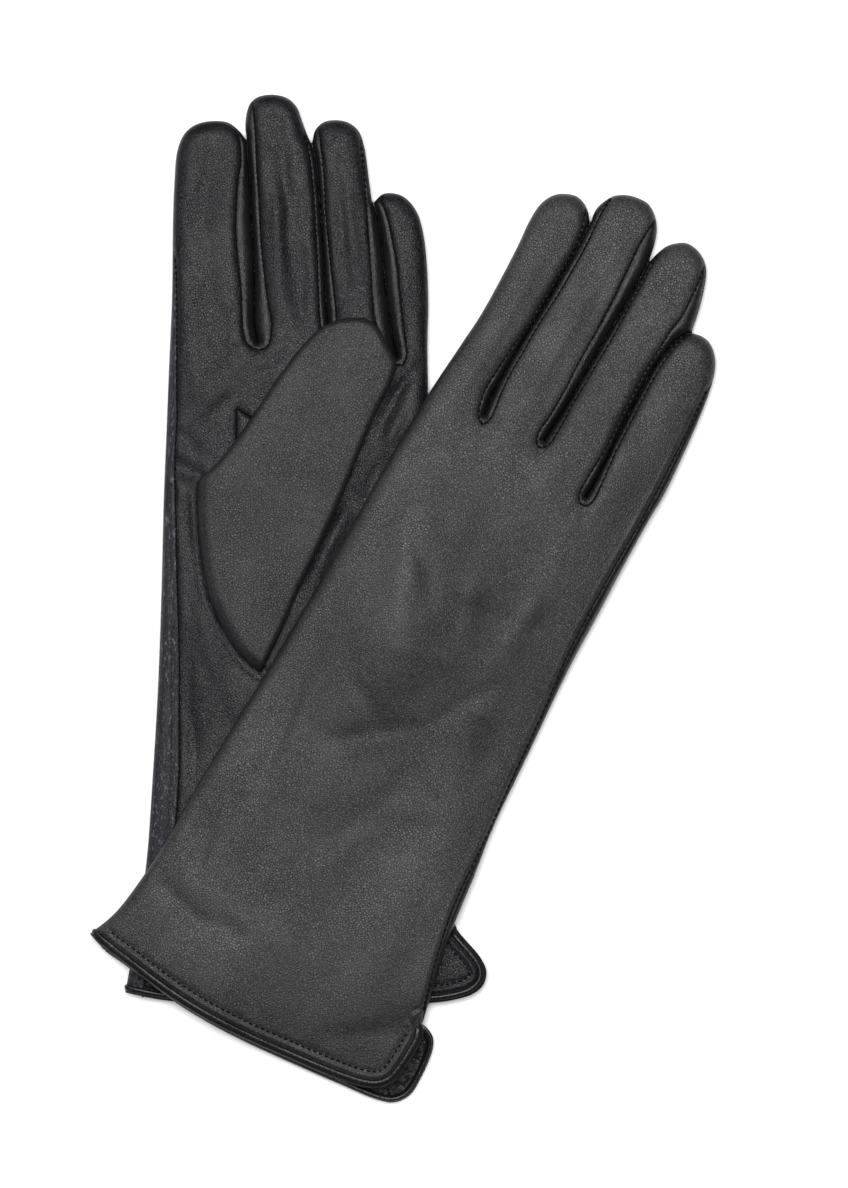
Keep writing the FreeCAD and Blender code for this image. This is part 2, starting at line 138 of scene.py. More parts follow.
# ---------------- outlines, in millimetres
# Each glove: its index side up to the first crotch, the tips, the little-finger side down to the vent,
# and the hems of its two layers. Valleys run down between the fingers. A gap seam runs down one finger,
# round the crotch and up the next finger, and the strip sewn inside it is a fourchette.
LEFT = {
    "index_side": [
        (-60.3, 0.5), (-56, 20), (-51.8, 43), (-48.4, 74), (-45.6, 104), (-43.4, 135), (-41.6, 165),
        (-40, 186), (-38.2, 210), (-36.5, 232), (-35.3, 257), (-34.3, 271), (-33, 281), (-30.5, 286.5),
        (-27, 289.3), (-21.7, 290.5), (-15.7, 289.8), (-12.2, 287), (-10, 284)],
    "tips": [
        [(-9.7, 284), (-10, 288), (-9.6, 292), (-8.1, 296), (-5.5, 298), (-0.3, 298.6), (4.5, 297.2),
         (7.4, 294.2), (9, 289.6), (10.3, 285.5), (11.7, 282)],
        [(12.1, 282), (13.3, 286.3), (16.1, 288.8), (20.2, 289.4), (24.5, 288.4), (27.7, 285.6),
         (29.4, 280.6), (30.6, 270), (31.4, 262)]],
    "little_side": [
        (32.1, 261.5), (34.8, 264), (37.7, 264.4), (41.4, 263.4), (44.3, 260.9), (46.8, 256.5),
        (48.3, 249.7), (49, 241), (49.1, 228), (48.3, 213), (48, 200), (46.9, 170), (45.6, 145),
        (44.8, 120), (44.7, 98), (45.6, 78), (47.3, 58), (49, 35), (50.8, 18)],
    "valleys": [
        [(-9.8, 284), (-9.1, 270), (-9, 257), (-8.7, 243), (-9, 230), (-9.2, 222), (-8.4, 216)],
        [(11.9, 282), (13.2, 276), (13.9, 266), (14.3, 255), (14.6, 246), (14.8, 235), (15, 226),
         (15.6, 217)],
        [(31.8, 261.5), (33.3, 255.3), (34.2, 248.5), (34.6, 241.8), (34.9, 233), (35.7, 225),
         (36.7, 216.6), (38, 209.5)]],
    "gap_seams": [
        [(-14.5, 290), (-12.4, 285), (-11.8, 277), (-13, 270.3), (-14.2, 256.9), (-14.2, 246.9),
         (-13.3, 233.4), (-13.1, 220), (-11.7, 215.4), (-8, 213.4), (-4.9, 214.6), (-3.4, 221.4),
         (-4.4, 229.8), (-5.4, 239.9), (-6, 249.9), (-6.2, 263.4), (-6.5, 273.4), (-6.7, 286.8),
         (-7.3, 297)],
        [(8.4, 293), (10.2, 282.9), (11.3, 276), (12, 266), (12.3, 256), (12.5, 246), (12.5, 232.5),
         (12.7, 222), (13.6, 215.5), (15.7, 213.2), (17.7, 216), (18.2, 224), (17.8, 230.7), (17.1, 239),
         (16.4, 249), (15.8, 259), (15.8, 269), (15.2, 279.4), (14.4, 288)],
        [(28.2, 284.5), (29.2, 268.8), (29.5, 258.8), (29.8, 248.7), (30.1, 238.6), (30.5, 228.6),
         (31.2, 221), (33.4, 213), (36.4, 207.8), (39.4, 206.5), (41.1, 209.4), (41.1, 213.4),
         (40.6, 219), (40, 225), (39.6, 231.6), (38.9, 241.7), (37.8, 248.4), (36.6, 255.1),
         (35.1, 260.2), (34, 264.2)]],
    "index_seam": [
        (-37, 262), (-34.9, 243), (-34.9, 230), (-35.8, 204), (-36.2, 190.7), (-37.3, 178),
        (-37.6, 164), (-37.9, 144), (-38, 124), (-38.2, 110), (-38.7, 97), (-39.2, 83.5), (-39.9, 70),
        (-41.1, 58.5), (-43.2, 46), (-47, 30), (-52, 12), (-55.5, -8)],
    "little_seam": [
        (51, 262), (47, 246), (46.4, 223), (45.4, 195), (43.2, 150), (42.4, 100), (43.5, 75), (45, 56),
        (47.5, 30), (50.8, 18)],
    "palm_hem": [
        (50.8, 18), (54.5, 13.5), (58.6, 8.4), (60.6, 3.6), (59.6, -0.8), (56, -3.9), (49, -5.8),
        (41, -6.5), (0, -5.2), (-30, -3.8), (-46, -2.7), (-60.3, 0.5)],
    "back_hem": [
        (50.8, 18), (54, 13), (57, 8), (58.4, 3.6), (57.4, -0.4), (54, -3), (48, -4.7), (41, -5.4),
        (0, -4.2), (-30, -3), (-46, -2), (-60.3, 0.5)],
}
RIGHT = {
    "index_side": [
        (-57.7, -1), (-53, 8.7), (-49.4, 24), (-47, 40), (-45.3, 61), (-42.3, 86), (-39.2, 111),
        (-36.6, 138), (-34.1, 165), (-31.6, 192), (-29.2, 211.5), (-26.3, 230), (-24.6, 241),
        (-23.5, 255), (-22.9, 268), (-22.8, 277), (-21.6, 283.8), (-18.4, 288.3), (-12.4, 290.6),
        (-8.8, 289.6), (-6.2, 287.4), (-4.3, 284.6)],
    "tips": [
        [(-4, 284.6), (-4.2, 289.3), (-2.8, 292.9), (-0.7, 295.8), (3.1, 297.9), (7.2, 298.6),
         (11, 298.2), (14.2, 295.9), (16.8, 292.3), (18.3, 287.6), (19.1, 281)],
        [(19.4, 281), (20.4, 284), (22.4, 287.9), (25, 290.2), (28, 291.6), (31.9, 291.1), (35.5, 289),
         (38, 285.7), (39.8, 280), (41.1, 273), (41.9, 265.6)]],
    "little_side": [
        (42.2, 265), (45.5, 265.4), (48.8, 264.5), (51.6, 262), (53.6, 258.8), (54.9, 254.4),
        (55.7, 248.4), (56.2, 239.5), (56.3, 226), (56, 212), (54.9, 202), (53.6, 185), (52.5, 166),
        (51.4, 150), (50.9, 136), (50.7, 121), (50.4, 105), (50.1, 92), (50.3, 82), (51, 72),
        (51.4, 60), (51.9, 48), (53.1, 37), (54.8, 25), (55.8, 17.8)],
    "valleys": [
        [(-4.1, 284.6), (-4.6, 274.4), (-5.5, 264.7), (-6.4, 254), (-8, 241.5), (-9.3, 228.1),
         (-10, 217), (-9.7, 211.5)],
        [(19.2, 281), (18.3, 268), (17, 255), (15.6, 241), (14, 226), (12.8, 217), (12, 212)],
        [(42, 265.3), (38.7, 261.2), (36.5, 255), (35.2, 248), (34.4, 238), (33.8, 227), (33.5, 214),
         (33, 205), (32.4, 200.5)]],
    "gap_seams": [
        [(-8.6, 291), (-6.6, 285), (-5.5, 277.7), (-5.9, 270.2), (-6.7, 262), (-7.7, 254), (-9, 243),
         (-10.7, 234.8), (-11.8, 227.1), (-12.8, 220), (-12.5, 214.5), (-11.3, 209.9), (-9, 207.9),
         (-7.4, 210), (-7.5, 222), (-7.3, 228.1), (-6.6, 234.7), (-6.1, 241.6), (-4.9, 251),
         (-3.6, 260.1), (-2.9, 266.7), (-2.3, 273.5), (-2.1, 281), (-2, 288), (-0.8, 297)],
        [(15.6, 297), (14.6, 291), (13.9, 285.1), (13.7, 277.2), (13.6, 270.6), (13.4, 263.1),
         (13, 255.6), (12.3, 247), (11.7, 240), (11.4, 232), (10.9, 225), (10.1, 218.6), (9.2, 213.5),
         (9.9, 209.8), (12, 208.6), (14, 211.2), (15, 216.5), (15.6, 226), (16.7, 235.2), (17.5, 243),
         (18.5, 251.8), (19.1, 259), (19.4, 266.8), (20, 272.7), (20.5, 278.4), (21, 283), (22.2, 290)],
        [(36.2, 290), (36.9, 282.2), (37, 276), (36.6, 268.5), (35.2, 262.5), (34.5, 256), (33.6, 250),
         (32.9, 243), (32.6, 236.3), (32.1, 229), (31.9, 220), (31.2, 213.4), (30.3, 206.4),
         (29.9, 200.8), (31.3, 197.5), (33.6, 197.3), (35.2, 200), (35.4, 206), (35.2, 217),
         (35.5, 224), (35.8, 231), (36.2, 239), (36.8, 247), (37.7, 253), (39, 258.8), (40.8, 262.6),
         (43.2, 266.5)]],
    "index_seam": [
        (-26, 262), (-23, 243), (-26, 215), (-28.6, 188), (-31.8, 125), (-33.8, 98), (-35.7, 75),
        (-37.5, 55), (-42.3, 25), (-52, -8)],
    "little_seam": [
        (57.6, 264), (54.9, 252), (54.3, 245), (54.2, 236), (53.9, 226), (53.2, 210), (52, 195.3),
        (50.8, 183), (49.8, 170), (49, 156), (48.8, 146), (49.2, 134), (49.2, 122), (49.1, 108),
        (49.2, 95), (49.3, 84), (49, 72), (48.9, 61), (49.4, 51), (50.8, 41), (52.2, 32), (53.8, 24),
        (55.8, 17.8)],
    "palm_hem": [
        (55.8, 17.8), (58.4, 16.8), (60.9, 15), (62.3, 12), (62.9, 7), (62.9, 1.3), (62.2, -5.2),
        (60, -8.8), (57, -10.9), (51, -12), (41, -12.2), (25, -12.4), (-3, -12), (-22.4, -9.8),
        (-42.8, -5.5), (-50.7, -4), (-57.7, -1)],
    "back_hem": [
        (55.8, 17.8), (57.6, 14.5), (57.3, 8), (56.3, 1), (54.7, -4.4), (51.2, -7.8), (45.7, -9.6),
        (38, -10.4), (20, -11), (-3, -10.8), (-22.4, -8.8), (-42.8, -4.6), (-50.7, -3), (-57.7, -1)],
}
# The folded thumb: the free edge of its lobe, and the seam that joins its root to the palm.
THUMB_EDGE = [
    (-30.2, 170.3), (-23, 176.3), (-16, 184.3), (-11.4, 190.5), (-3.7, 201.2), (5.1, 212.5),
    (10.3, 217.6), (15, 220.9), (21, 222.6), (28, 222.3), (32.2, 219), (35.3, 212.6), (37.5, 207),
    (36.5, 202.4), (33.7, 196.8), (30.5, 191), (24.7, 178.5), (17.4, 162), (10.2, 147), (2.2, 132),
    (-3.9, 119), (-11.2, 105.3)]
THUMB_ROOT = [
    (-11.2, 105.3), (-16.6, 110), (-20.2, 114.7), (-23.4, 120.5), (-26.4, 127.3), (-28.2, 133.4),
    (-29.6, 141.8), (-30.4, 150.2), (-30.8, 160.3), (-30.2, 170.3)]
THUMB_CHORD = [(-30.2, 170.3), (-11.2, 105.3)]
QUIRK = [(-16, 194), (-16.6, 183), (-6, 183), (-10.8, 190.6)]
# Soft folds: each runs from one point to another, with a half-width and a rise, below zero for a crease.
LEFT_FOLDS = [
    ((-38, 176), (-29, 172), 3.2, -2.0), ((-35, 187), (-29, 178), 3.2, -1.1),
    ((-35, 164), (-33, 148), 2.2, -0.8), ((-28, 188), (-18, 198), 2.2, -0.8),
    ((-30, 199), (-18, 206), 5.0, 0.9), ((3, 280), (4, 229), 2.2, -1.4),
    ((8, 264), (6, 222), 1.8, -1.0), ((-1, 262), (0, 224), 2.0, 0.8), ((20, 268), (22, 229), 1.6, -1.0),
    ((26, 264), (28, 235), 1.6, -0.8), ((-37, 120), (-34, 70), 2.2, -0.8),
    ((-31, 137), (-26, 96), 3.0, 0.8), ((21, 163), (6, 134), 2.9, -2.1),
    ((27, 158), (12, 128), 2.6, 1.3), ((34, 180), (24, 158), 2.8, -1.5),
    ((40, 202), (31, 184), 2.8, -1.6), ((38, 190), (31, 174), 2.4, 1.0),
    ((-25, 272), (-27, 252), 3.5, -0.8), ((44, 205), (36, 196), 1.4, -1.0),
    ((-30, 110), (-20, 84), 2.4, -0.8), ((-20, 226), (-22, 205), 3.0, -0.6),
    ((-31, 232), (-30, 206), 3.0, 0.6), ((-12, 207), (2, 212), 1.6, -0.7),
    ((42, 222), (45, 205), 1.8, -0.8)]
RIGHT_FOLDS = [
    ((6, 150), (35, 152), 2.6, -0.6), ((-28, 121), (-27, 73), 3.2, -0.7),
    ((-24, 110), (-21, 70), 3.4, 0.5), ((-43, 25), (-24, 17), 3.2, -1.0),
    ((-26, 19), (-8, 19), 3.4, -0.6), ((-38, 31), (-12, 26), 3.4, 0.4),
    ((-37, 52), (-33, 30), 2.8, -0.8), ((-12, 91), (12, 108), 3.2, -0.6),
    ((14, 106), (31, 131), 3.0, -0.6), ((1, 55), (18, 94), 3.5, -0.4),
    ((-17, 170), (1, 147), 3.0, -0.6), ((-19, 184), (-6, 130), 6.0, 0.7),
    ((33, 164), (29, 145), 3.0, 0.6), ((-13, 113), (2, 103), 2.8, -0.5),
    ((15, 74), (38, 80), 3.2, -0.4), ((30, 2), (50, 13), 3.0, -0.5), ((10, 160), (18, 140), 3.5, 0.5),
    ((-4, 128), (14, 132), 2.5, 0.4), ((20, 118), (40, 122), 2.6, 0.4)]


# ---------------- curves and distances
def smooth_curve(points, step=CURVE_STEP):
    """Points evenly along a centripetal Catmull-Rom curve through the given ones."""
    p = np.array(points, float)
    p = np.vstack([2 * p[0] - p[1], p, 2 * p[-1] - p[-2]])
    out = []
    for a, b, c, d in zip(p, p[1:], p[2:], p[3:]):
        t1 = math.dist(a, b) ** 0.5
        t2 = t1 + math.dist(b, c) ** 0.5
        t3 = t2 + math.dist(c, d) ** 0.5
        for t in np.linspace(t1, t2, 24, endpoint=False):
            ab = a + (b - a) * t / t1
            bc = b + (c - b) * (t - t1) / (t2 - t1)
            cd = c + (d - c) * (t - t2) / (t3 - t2)
            abc = ab + (bc - ab) * t / t2
            bcd = bc + (cd - bc) * (t - t1) / (t3 - t1)
            out.append(abc + (bcd - abc) * (t - t1) / (t2 - t1))
    return resample(np.vstack([out, p[-2]]), step)


def evenly(line, count_for, endpoint=True):
    """Points evenly along a line, as many as count_for says for its length."""
    lengths = np.concatenate([[0], np.cumsum(np.linalg.norm(np.diff(line, axis=0), axis=1))])
    at = np.linspace(0, lengths[-1], count_for(lengths[-1]), endpoint=endpoint)
    return np.column_stack([np.interp(at, lengths, line[:, k]) for k in range(line.shape[1])])


def resample(line, step):
    return evenly(line, lambda length: max(2, int(round(length / step)) + 1))


def normals_of(line):
    """Unit normals to the left of a line's direction."""
    along = np.gradient(line, axis=0)
    along /= np.linalg.norm(along, axis=1)[:, None] + 1e-12
    return np.column_stack([-along[:, 1], along[:, 0]])


def beside(line, gap):
    """The line moved over to its right."""
    return line - normals_of(line) * gap


class Line:
    """A polyline that gives its distance and side, for many points at once."""

    def __init__(self, *lines):
        self.starts = np.vstack([part[:-1] for part in lines])
        self.ends = np.vstack([part[1:] for part in lines])
        middles = (self.starts + self.ends) / 2
        self.tree = kdtree.KDTree(len(middles))
        for i, (x, y) in enumerate(middles):
            self.tree.insert((x, y, 0), i)
        self.tree.balance()

    def near(self, points):
        """Distance to the line, and whether the point is to its left, for each point."""
        best = np.full(len(points), 1e9)
        left = np.zeros(len(points))
        found = np.array([[hit[1] for hit in self.tree.find_n((x, y, 0), 3)] for x, y in points])
        for column in found.T:
            a = self.starts[column]
            span = self.ends[column] - a
            reach = points - a
            t = np.clip((reach * span).sum(1) / (span * span).sum(1), 0, 1)
            gap = np.linalg.norm(reach - span * t[:, None], axis=1)
            side = span[:, 0] * reach[:, 1] - span[:, 1] * reach[:, 0]
            closer = gap < best - 1e-9
            best[closer] = gap[closer]
            left[closer] = side[closer]
        return best, left > 0

    def distance(self, points):
        return self.near(points)[0]


def inside(points, polygon):
    """Which points lie inside a closed polygon."""
    result = np.zeros(len(points), bool)
    x, y = points[:, 0], points[:, 1]
    for (x1, y1), (x2, y2) in zip(polygon, np.roll(polygon, -1, axis=0)):
        if y1 == y2:
            continue
        crosses = (y1 > y) != (y2 > y)
        result ^= crosses & (x < x1 + (y - y1) * (x2 - x1) / (y2 - y1))
    return result


def smoothstep(value):
    value = np.clip(value, 0, 1)
    return value * value * (3 - 2 * value)


def puff(distance, radius):
    """A quarter-round edge: 0 at the edge, 1 from a radius inwards."""
    t = np.clip(1 - distance / radius, 0, 1)
    return np.sqrt(1 - t * t)


def bump(distance, width):
    return np.exp(-(distance / width) ** 2)


def soft_noise(points, scale, seed, stretch=(1, 1)):
    """Smooth noise between about -1 and 1 over the plane, in features of a size in millimetres."""
    at = points * np.array(stretch) / scale
    return np.array([noise.noise((x, y, seed)) for x, y in at])


# ---------------- triangulated layers
def scatter(curves, rows, polygon, spacing):
    """The curves' points, rows beside them, and an even grid between, none too close together."""
    cell = 0.5      # of the lookup that finds a point's neighbours
    taken = {}
    kept = []

    def free(x, y, gap):
        reach = int(math.ceil(gap / cell))
        i, j = int(x // cell), int(y // cell)
        for a in range(i - reach, i + reach + 1):
            for b in range(j - reach, j + reach + 1):
                for px, py in taken.get((a, b), ()):
                    if (px - x) ** 2 + (py - y) ** 2 < gap * gap:
                        return False
        return True

    def add(x, y):
        taken.setdefault((int(x // cell), int(y // cell)), []).append((x, y))
        kept.append((x, y))

    edges = []
    for line in curves:
        first = len(kept)
        for x, y in line:
            add(x, y)
        edges += [(k, k + 1) for k in range(first, len(kept) - 1)]
    wanted = []
    for line, offsets in rows:
        side = normals_of(line)
        for offset in offsets:
            wanted.append((line + side * offset, min(abs(offset) * 0.85, 0.5)))
    for row, gap in wanted:
        for x, y in row[inside(row, polygon)]:
            if free(x, y, gap):
                add(x, y)
    low, high = polygon.min(0), polygon.max(0)
    grid = []
    row_height = spacing * 0.866
    for j in range(int((high[1] - low[1]) / row_height) + 1):
        for i in range(int((high[0] - low[0]) / spacing) + 1):
            grid.append((low[0] + (i + 0.5 * (j % 2)) * spacing, low[1] + j * row_height))
    grid = np.array(grid)
    for x, y in grid[inside(grid, polygon)]:
        if free(x, y, spacing * 0.7):
            add(x, y)
    return kept, edges


def join(points, edges=()):
    """Triangles between points in the plane, which keep to the given edges."""
    verts, _, faces, _, _, _ = delaunay_2d_cdt([Vector(p) for p in points], list(edges), [], 0, 1e-5)
    return np.array([(v.x, v.y) for v in verts]), np.array([f for f in faces if len(f) == 3])


def triangulate(curves, rows, polygon, spacing):
    points, edges = scatter(curves, rows, polygon, spacing)
    plane, faces = join(points, edges)
    return plane, faces[inside(plane[faces].mean(1), polygon)]


class Surface:
    """Triangles gathered from layers into one piece, with the points that they share joined."""

    def __init__(self):
        self.points = []
        self.faces = []
        self.index = {}

    def add(self, points, faces, facing_up):
        local = {}
        for v in np.unique(faces):
            key = tuple(np.round(points[v], 2))
            if key not in self.index:
                self.index[key] = len(self.points)
                self.points.append(points[v])
            local[v] = self.index[key]
        corners = points[faces][:, :, :2]
        one, two = corners[:, 1] - corners[:, 0], corners[:, 2] - corners[:, 0]
        anticlockwise = one[:, 0] * two[:, 1] - one[:, 1] * two[:, 0] > 0
        for (a, b, c), turned in zip(faces, anticlockwise != facing_up):
            face = (local[a], local[c], local[b]) if turned else (local[a], local[b], local[c])
            if len(set(face)) == 3:
                self.faces.append(face)
        return self


# ---------------- the shape of one glove
class Glove:
    """One glove's curves, its layers' heights and the pieces that its layers are cut into."""

    def __init__(self, side, data, turn, palm_up, thumb_shift):
        self.side = side
        self.palm_up = palm_up
        self.turn = math.radians(turn)
        self.index_side = smooth_curve(data["index_side"])
        self.little_side = smooth_curve(data["little_side"])
        self.tips = [smooth_curve(tip) for tip in data["tips"]]
        self.valleys = [smooth_curve(valley) for valley in data["valleys"]]
        self.gap_seams = [smooth_curve(seam, SEAM_STEP) for seam in data["gap_seams"]]
        self.side_seams = {"palm": data["index_seam"], "back": data["little_seam"]}
        self.side_seams = {layer: smooth_curve(seam) for layer, seam in self.side_seams.items()}
        self.hems = {layer: smooth_curve(data[f"{layer}_hem"]) for layer in ("palm", "back")}
        self.closed_parts = self.sides_and_fingers()
        self.closed_edge = Line(*self.closed_parts)
        self.outer_edge = Line(self.index_side, *self.tips, self.little_side)
        self.slot_edge = Line(*self.valleys)
        self.fold_lines = LEFT_FOLDS if palm_up else RIGHT_FOLDS
        shift = np.array([thumb_shift, 0])
        self.thumb_edge = smooth_curve(np.array(THUMB_EDGE) + shift)
        self.thumb_root = smooth_curve(np.array(THUMB_ROOT) + shift)
        self.thumb_outline = np.vstack([self.thumb_edge, self.thumb_root])
        self.thumb_chord = np.array(THUMB_CHORD) + shift
        self.quirk = resample(np.array(QUIRK + QUIRK[:1]) + shift, CURVE_STEP)
        self.gap_line = [Line(seam) for seam in self.gap_seams]
        self.side_line = {name: Line(seam) for name, seam in self.side_seams.items()}
        self.root_line = Line(self.thumb_root)
        self.thumb_line = Line(self.thumb_edge)
        self.quirk_line = Line(self.quirk)
        self.hem_line = {name: Line(hem) for name, hem in self.hems.items()}
        self.drape = self.roof = self.thumb_drape = None
        self.origin = self.find_origin()

    def sides_and_fingers(self):
        """The closed part of the outline: both sides, the tips and both walls of each valley."""
        parts = [self.index_side]
        for valley, after in zip(self.valleys, self.tips + [self.little_side]):
            parts += [*self.valley_walls(valley), after]
        return parts

    @staticmethod
    def valley_walls(valley):
        """Down one wall of the slit between two fingers, and up the other."""
        width = SLIT * np.linspace(1, 0, len(valley)) ** 0.25
        side = normals_of(valley)
        down = valley - side * width[:, None]
        up = (valley + side * width[:, None])[::-1]
        return [down, up]

    def outline(self, layer):
        """The palm or back layer's outline: up the index side, over the tips, down and along the hem."""
        return np.vstack(self.closed_parts + [self.hems[layer]])

    def find_origin(self):
        """Where the glove's own frame lies: its outline's box is centred in its CAD panels' box."""
        low = np.full(2, 1e9)
        high = -low
        for node in ("back_panel", "palm_panel", "cuff_binding"):
            a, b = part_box(f"{self.side}_{node}")
            low = np.minimum(low, a[:2])
            high = np.maximum(high, b[:2])
        turned = self.rotate(np.vstack([self.outline("palm"), self.outline("back")])) * MM
        return (low + high) / 2 - (turned.min(0) + turned.max(0)) / 2

    def on_top(self, layer):
        return (layer == "palm") == self.palm_up

    def rotate(self, points):
        c, s = math.cos(self.turn), math.sin(self.turn)
        return points @ np.array([[c, s], [-s, c]])

    def to_pair(self, points):
        """From the glove's own frame, in millimetres, to the pair's, in metres."""
        flat = self.rotate(points[:, :2]) * MM + self.origin
        return np.column_stack([flat, points[:, 2] * MM]) if points.shape[1] == 3 else flat

    def from_pair(self, points):
        c, s = math.cos(-self.turn), math.sin(-self.turn)
        return ((points - self.origin) / MM) @ np.array([[c, s], [-s, c]])

    # heights ------------------------------------------------------------
    def thickness(self, points):
        return HEM_THICKNESS + HAND_EXTRA * smoothstep(points[:, 1] / HAND_START)

    def under(self, points):
        """The height of the surface that the glove lies on."""
        return self.drape(points) if self.drape else np.zeros(len(points))

    def rest(self, points, upper, edge):
        """What a layer follows: the surface below, or for the upper one a smoother surface over it."""
        base = self.under(points)
        if upper and self.roof:
            base = base + (self.roof(points) - base) * smoothstep(edge / 24)
        return base

    def palm_face(self, points):
        """The palm's outer face where the thumb's root is sewn to it."""
        return self.height(points, "palm") + (-0.5 if self.palm_up else 0.5)

    def thumb_bed(self, points):
        """What the folded thumb lies on: the palm of a glove that lies palm up, or else what is below."""
        if self.palm_up:
            return self.thickness(points) + 0.3
        return self.thumb_drape(points) + 0.15

    def plain_top(self, points):
        """The upper face without its seams and folds, or 0 outside the glove."""
        top = np.zeros(len(points))
        within = inside(points, self.outline("palm")) | inside(points, self.outline("back"))
        edge = self.closed_edge.distance(points[within])
        top[within] = self.thickness(points[within]) / 2 * (1 + puff(edge, 5))
        return top

    def seam_relief(self, points, layer):
        """Grooves along the seams, a small roll beside each, and the band beside the bound hem."""
        relief = np.zeros(len(points))
        banded = [(line, SEAM_BANDS) for line in (*self.gap_line, self.side_line[layer])]
        for line, bands in banded + [(self.hem_line[layer], HEM_BANDS)]:
            gap = line.distance(points)
            for at, rise, width in bands:
                relief += rise * bump(gap - at, width)
        if layer == "palm":
            relief -= 0.6 * bump(self.quirk_line.distance(points), 0.45)
            seam, inner = self.side_line["palm"].near(points)
            relief -= 0.75 * bump(seam - 2.0, 0.55) * (1 - inner)
            root, outer = self.root_line.near(points)
            relief += 0.6 * bump(root - 0.9, 0.9) * outer
            relief -= 0.8 * bump(root, 2.5) * (1 - outer)
        return relief

    def folds(self, points, layer):
        """Soft unevenness of leather that has been worn and laid down, and puckers at the crotches."""
        far = smoothstep(self.closed_edge.distance(points) / 9)
        broad, seed, fine = WAVES[self.palm_up]
        wave = broad * soft_noise(points, 34, seed, (1.0, 0.7))
        wave += fine * soft_noise(points, 15, 5.7, (1.2, 0.8))
        if layer == "palm":
            wave += 0.32 * soft_noise(points, 9, 9.3, (1.0, 0.7))
            fingers = smoothstep((points[:, 1] - 205) / 25)
            wave += 0.6 * fingers * soft_noise(points, 6, 4.4, (1.0, 0.12))
        result = wave * (0.25 + 0.75 * far)
        for start, end, width, rise in self.fold_lines:
            start, span = np.array(start, float), np.subtract(end, start).astype(float)
            along = ((points - start) @ span) / (span @ span)
            bend = 1.2 * soft_noise(points, 14, width)[:, None]
            gap = np.linalg.norm(points + bend - start - np.clip(along, 0, 1)[:, None] * span, axis=1)
            fade = smoothstep(1.3 - np.abs(along - 0.5) * 1.6)
            result += FOLD_DEPTH * rise * bump(gap, width) * fade
        for seam in self.gap_seams:
            crotch = seam[np.argmin(seam[:, 1])]
            reach = points - crotch
            radius = np.linalg.norm(reach, axis=1)
            angle = np.arctan2(reach[:, 0], -reach[:, 1])
            below = smoothstep(1.2 - np.abs(angle) / 1.6)
            result += 0.42 * np.cos(6.5 * angle + 0.6) * np.exp(-radius / 3.4) * below
            result -= 0.5 * bump(radius, 3.5) * below
        return result

    def height(self, points, layer):
        """The height of the palm or back layer's outer face over the plane."""
        thick = self.thickness(points)
        edge = self.closed_edge.distance(points)
        base = self.under(points)
        if not self.on_top(layer):
            relief = self.seam_relief(points, layer) * 0.4 * puff(edge, 3)
            return base + np.maximum(thick / 2 * (1 - puff(edge, LOWER_ROUND)) - relief, 0.03)
        base = self.rest(points, True, edge)
        outer = CUFF_ROUND + FINGER_ROUND * smoothstep((points[:, 1] - HAND_START) / 30)
        side = puff(self.outer_edge.distance(points), outer)
        crown = np.minimum(side, puff(self.slot_edge.distance(points), SLOT_ROUND))
        roundness = ROUNDNESS[self.palm_up]
        crown = (1 - roundness) * crown + roundness * puff(edge, MIDDLE_ROUND)
        relief = (self.seam_relief(points, layer) + self.folds(points, layer)) * puff(edge, 2.5)
        return base + thick / 2 * (1 + crown) + relief


def settle(target, weight, rounds=900):
    """Lay a limp sheet over a height map: it rests on it, or hangs free of it between its high places."""
    sheet = target.copy()
    for _ in range(rounds):
        inner = (sheet[:-2, 1:-1] + sheet[2:, 1:-1] + sheet[1:-1, :-2] + sheet[1:-1, 2:]) / 4
        sheet[1:-1, 1:-1] = np.maximum(target[1:-1, 1:-1], inner - weight)
    return sheet


class Sheet:
    """A height map over the right glove's own frame, read smoothly between its cells."""

    def __init__(self, heights=None):
        self.low = np.array(DRAPE_LOW, float)
        self.shape = tuple(int(v) for v in (np.array(DRAPE_HIGH) - self.low) / DRAPE_CELL + 1)
        self.heights = np.zeros(self.shape) if heights is None else heights

    def places(self):
        i, j = np.meshgrid(np.arange(self.shape[0]), np.arange(self.shape[1]), indexing="ij")
        return self.low + np.column_stack([i.ravel(), j.ravel()]) * DRAPE_CELL

    def __call__(self, points):
        at = (points - self.low) / DRAPE_CELL
        at = np.clip(at, 0, np.array(self.shape) - 1.001)
        i = at.astype(int)
        f = at - i
        z = self.heights
        a, b = i[:, 0], i[:, 1]
        return ((z[a, b] * (1 - f[:, 0]) + z[a + 1, b] * f[:, 0]) * (1 - f[:, 1])
                + (z[a, b + 1] * (1 - f[:, 0]) + z[a + 1, b + 1] * f[:, 0]) * f[:, 1])

    def soften(self, rounds):
        for _ in range(rounds):
            z = self.heights
            z[1:-1, 1:-1] = (z[1:-1, 1:-1] * 4 + z[:-2, 1:-1] + z[2:, 1:-1]
                             + z[1:-1, :-2] + z[1:-1, 2:]) / 8
        return self


FOURCHETTES = ("fourchette_index_middle", "fourchette_middle_ring", "fourchette_ring_little")


# ---------------- cutting the layers into pieces
def lifted(points, heights):
    return np.column_stack([points, heights])


def strip_polygon(seam, far_x):
    return np.vstack([seam, [(far_x, seam[-1][1]), (far_x, seam[0][1])]])


def labels(glove, middles, layer):
    """The piece that each triangle of a layer belongs to."""
    names = np.full(len(middles), f"{layer}_panel", object)
    if layer == "palm":
        names[inside(middles, strip_polygon(glove.side_seams[layer], -90))] = "back_panel"
        names[inside(middles, glove.quirk)] = "quirk"
    else:
        names[inside(middles, strip_polygon(glove.side_seams[layer], 90))] = "palm_panel"
    for seam, name in zip(glove.gap_seams, FOURCHETTES):
        names[inside(middles, seam)] = name
    return names


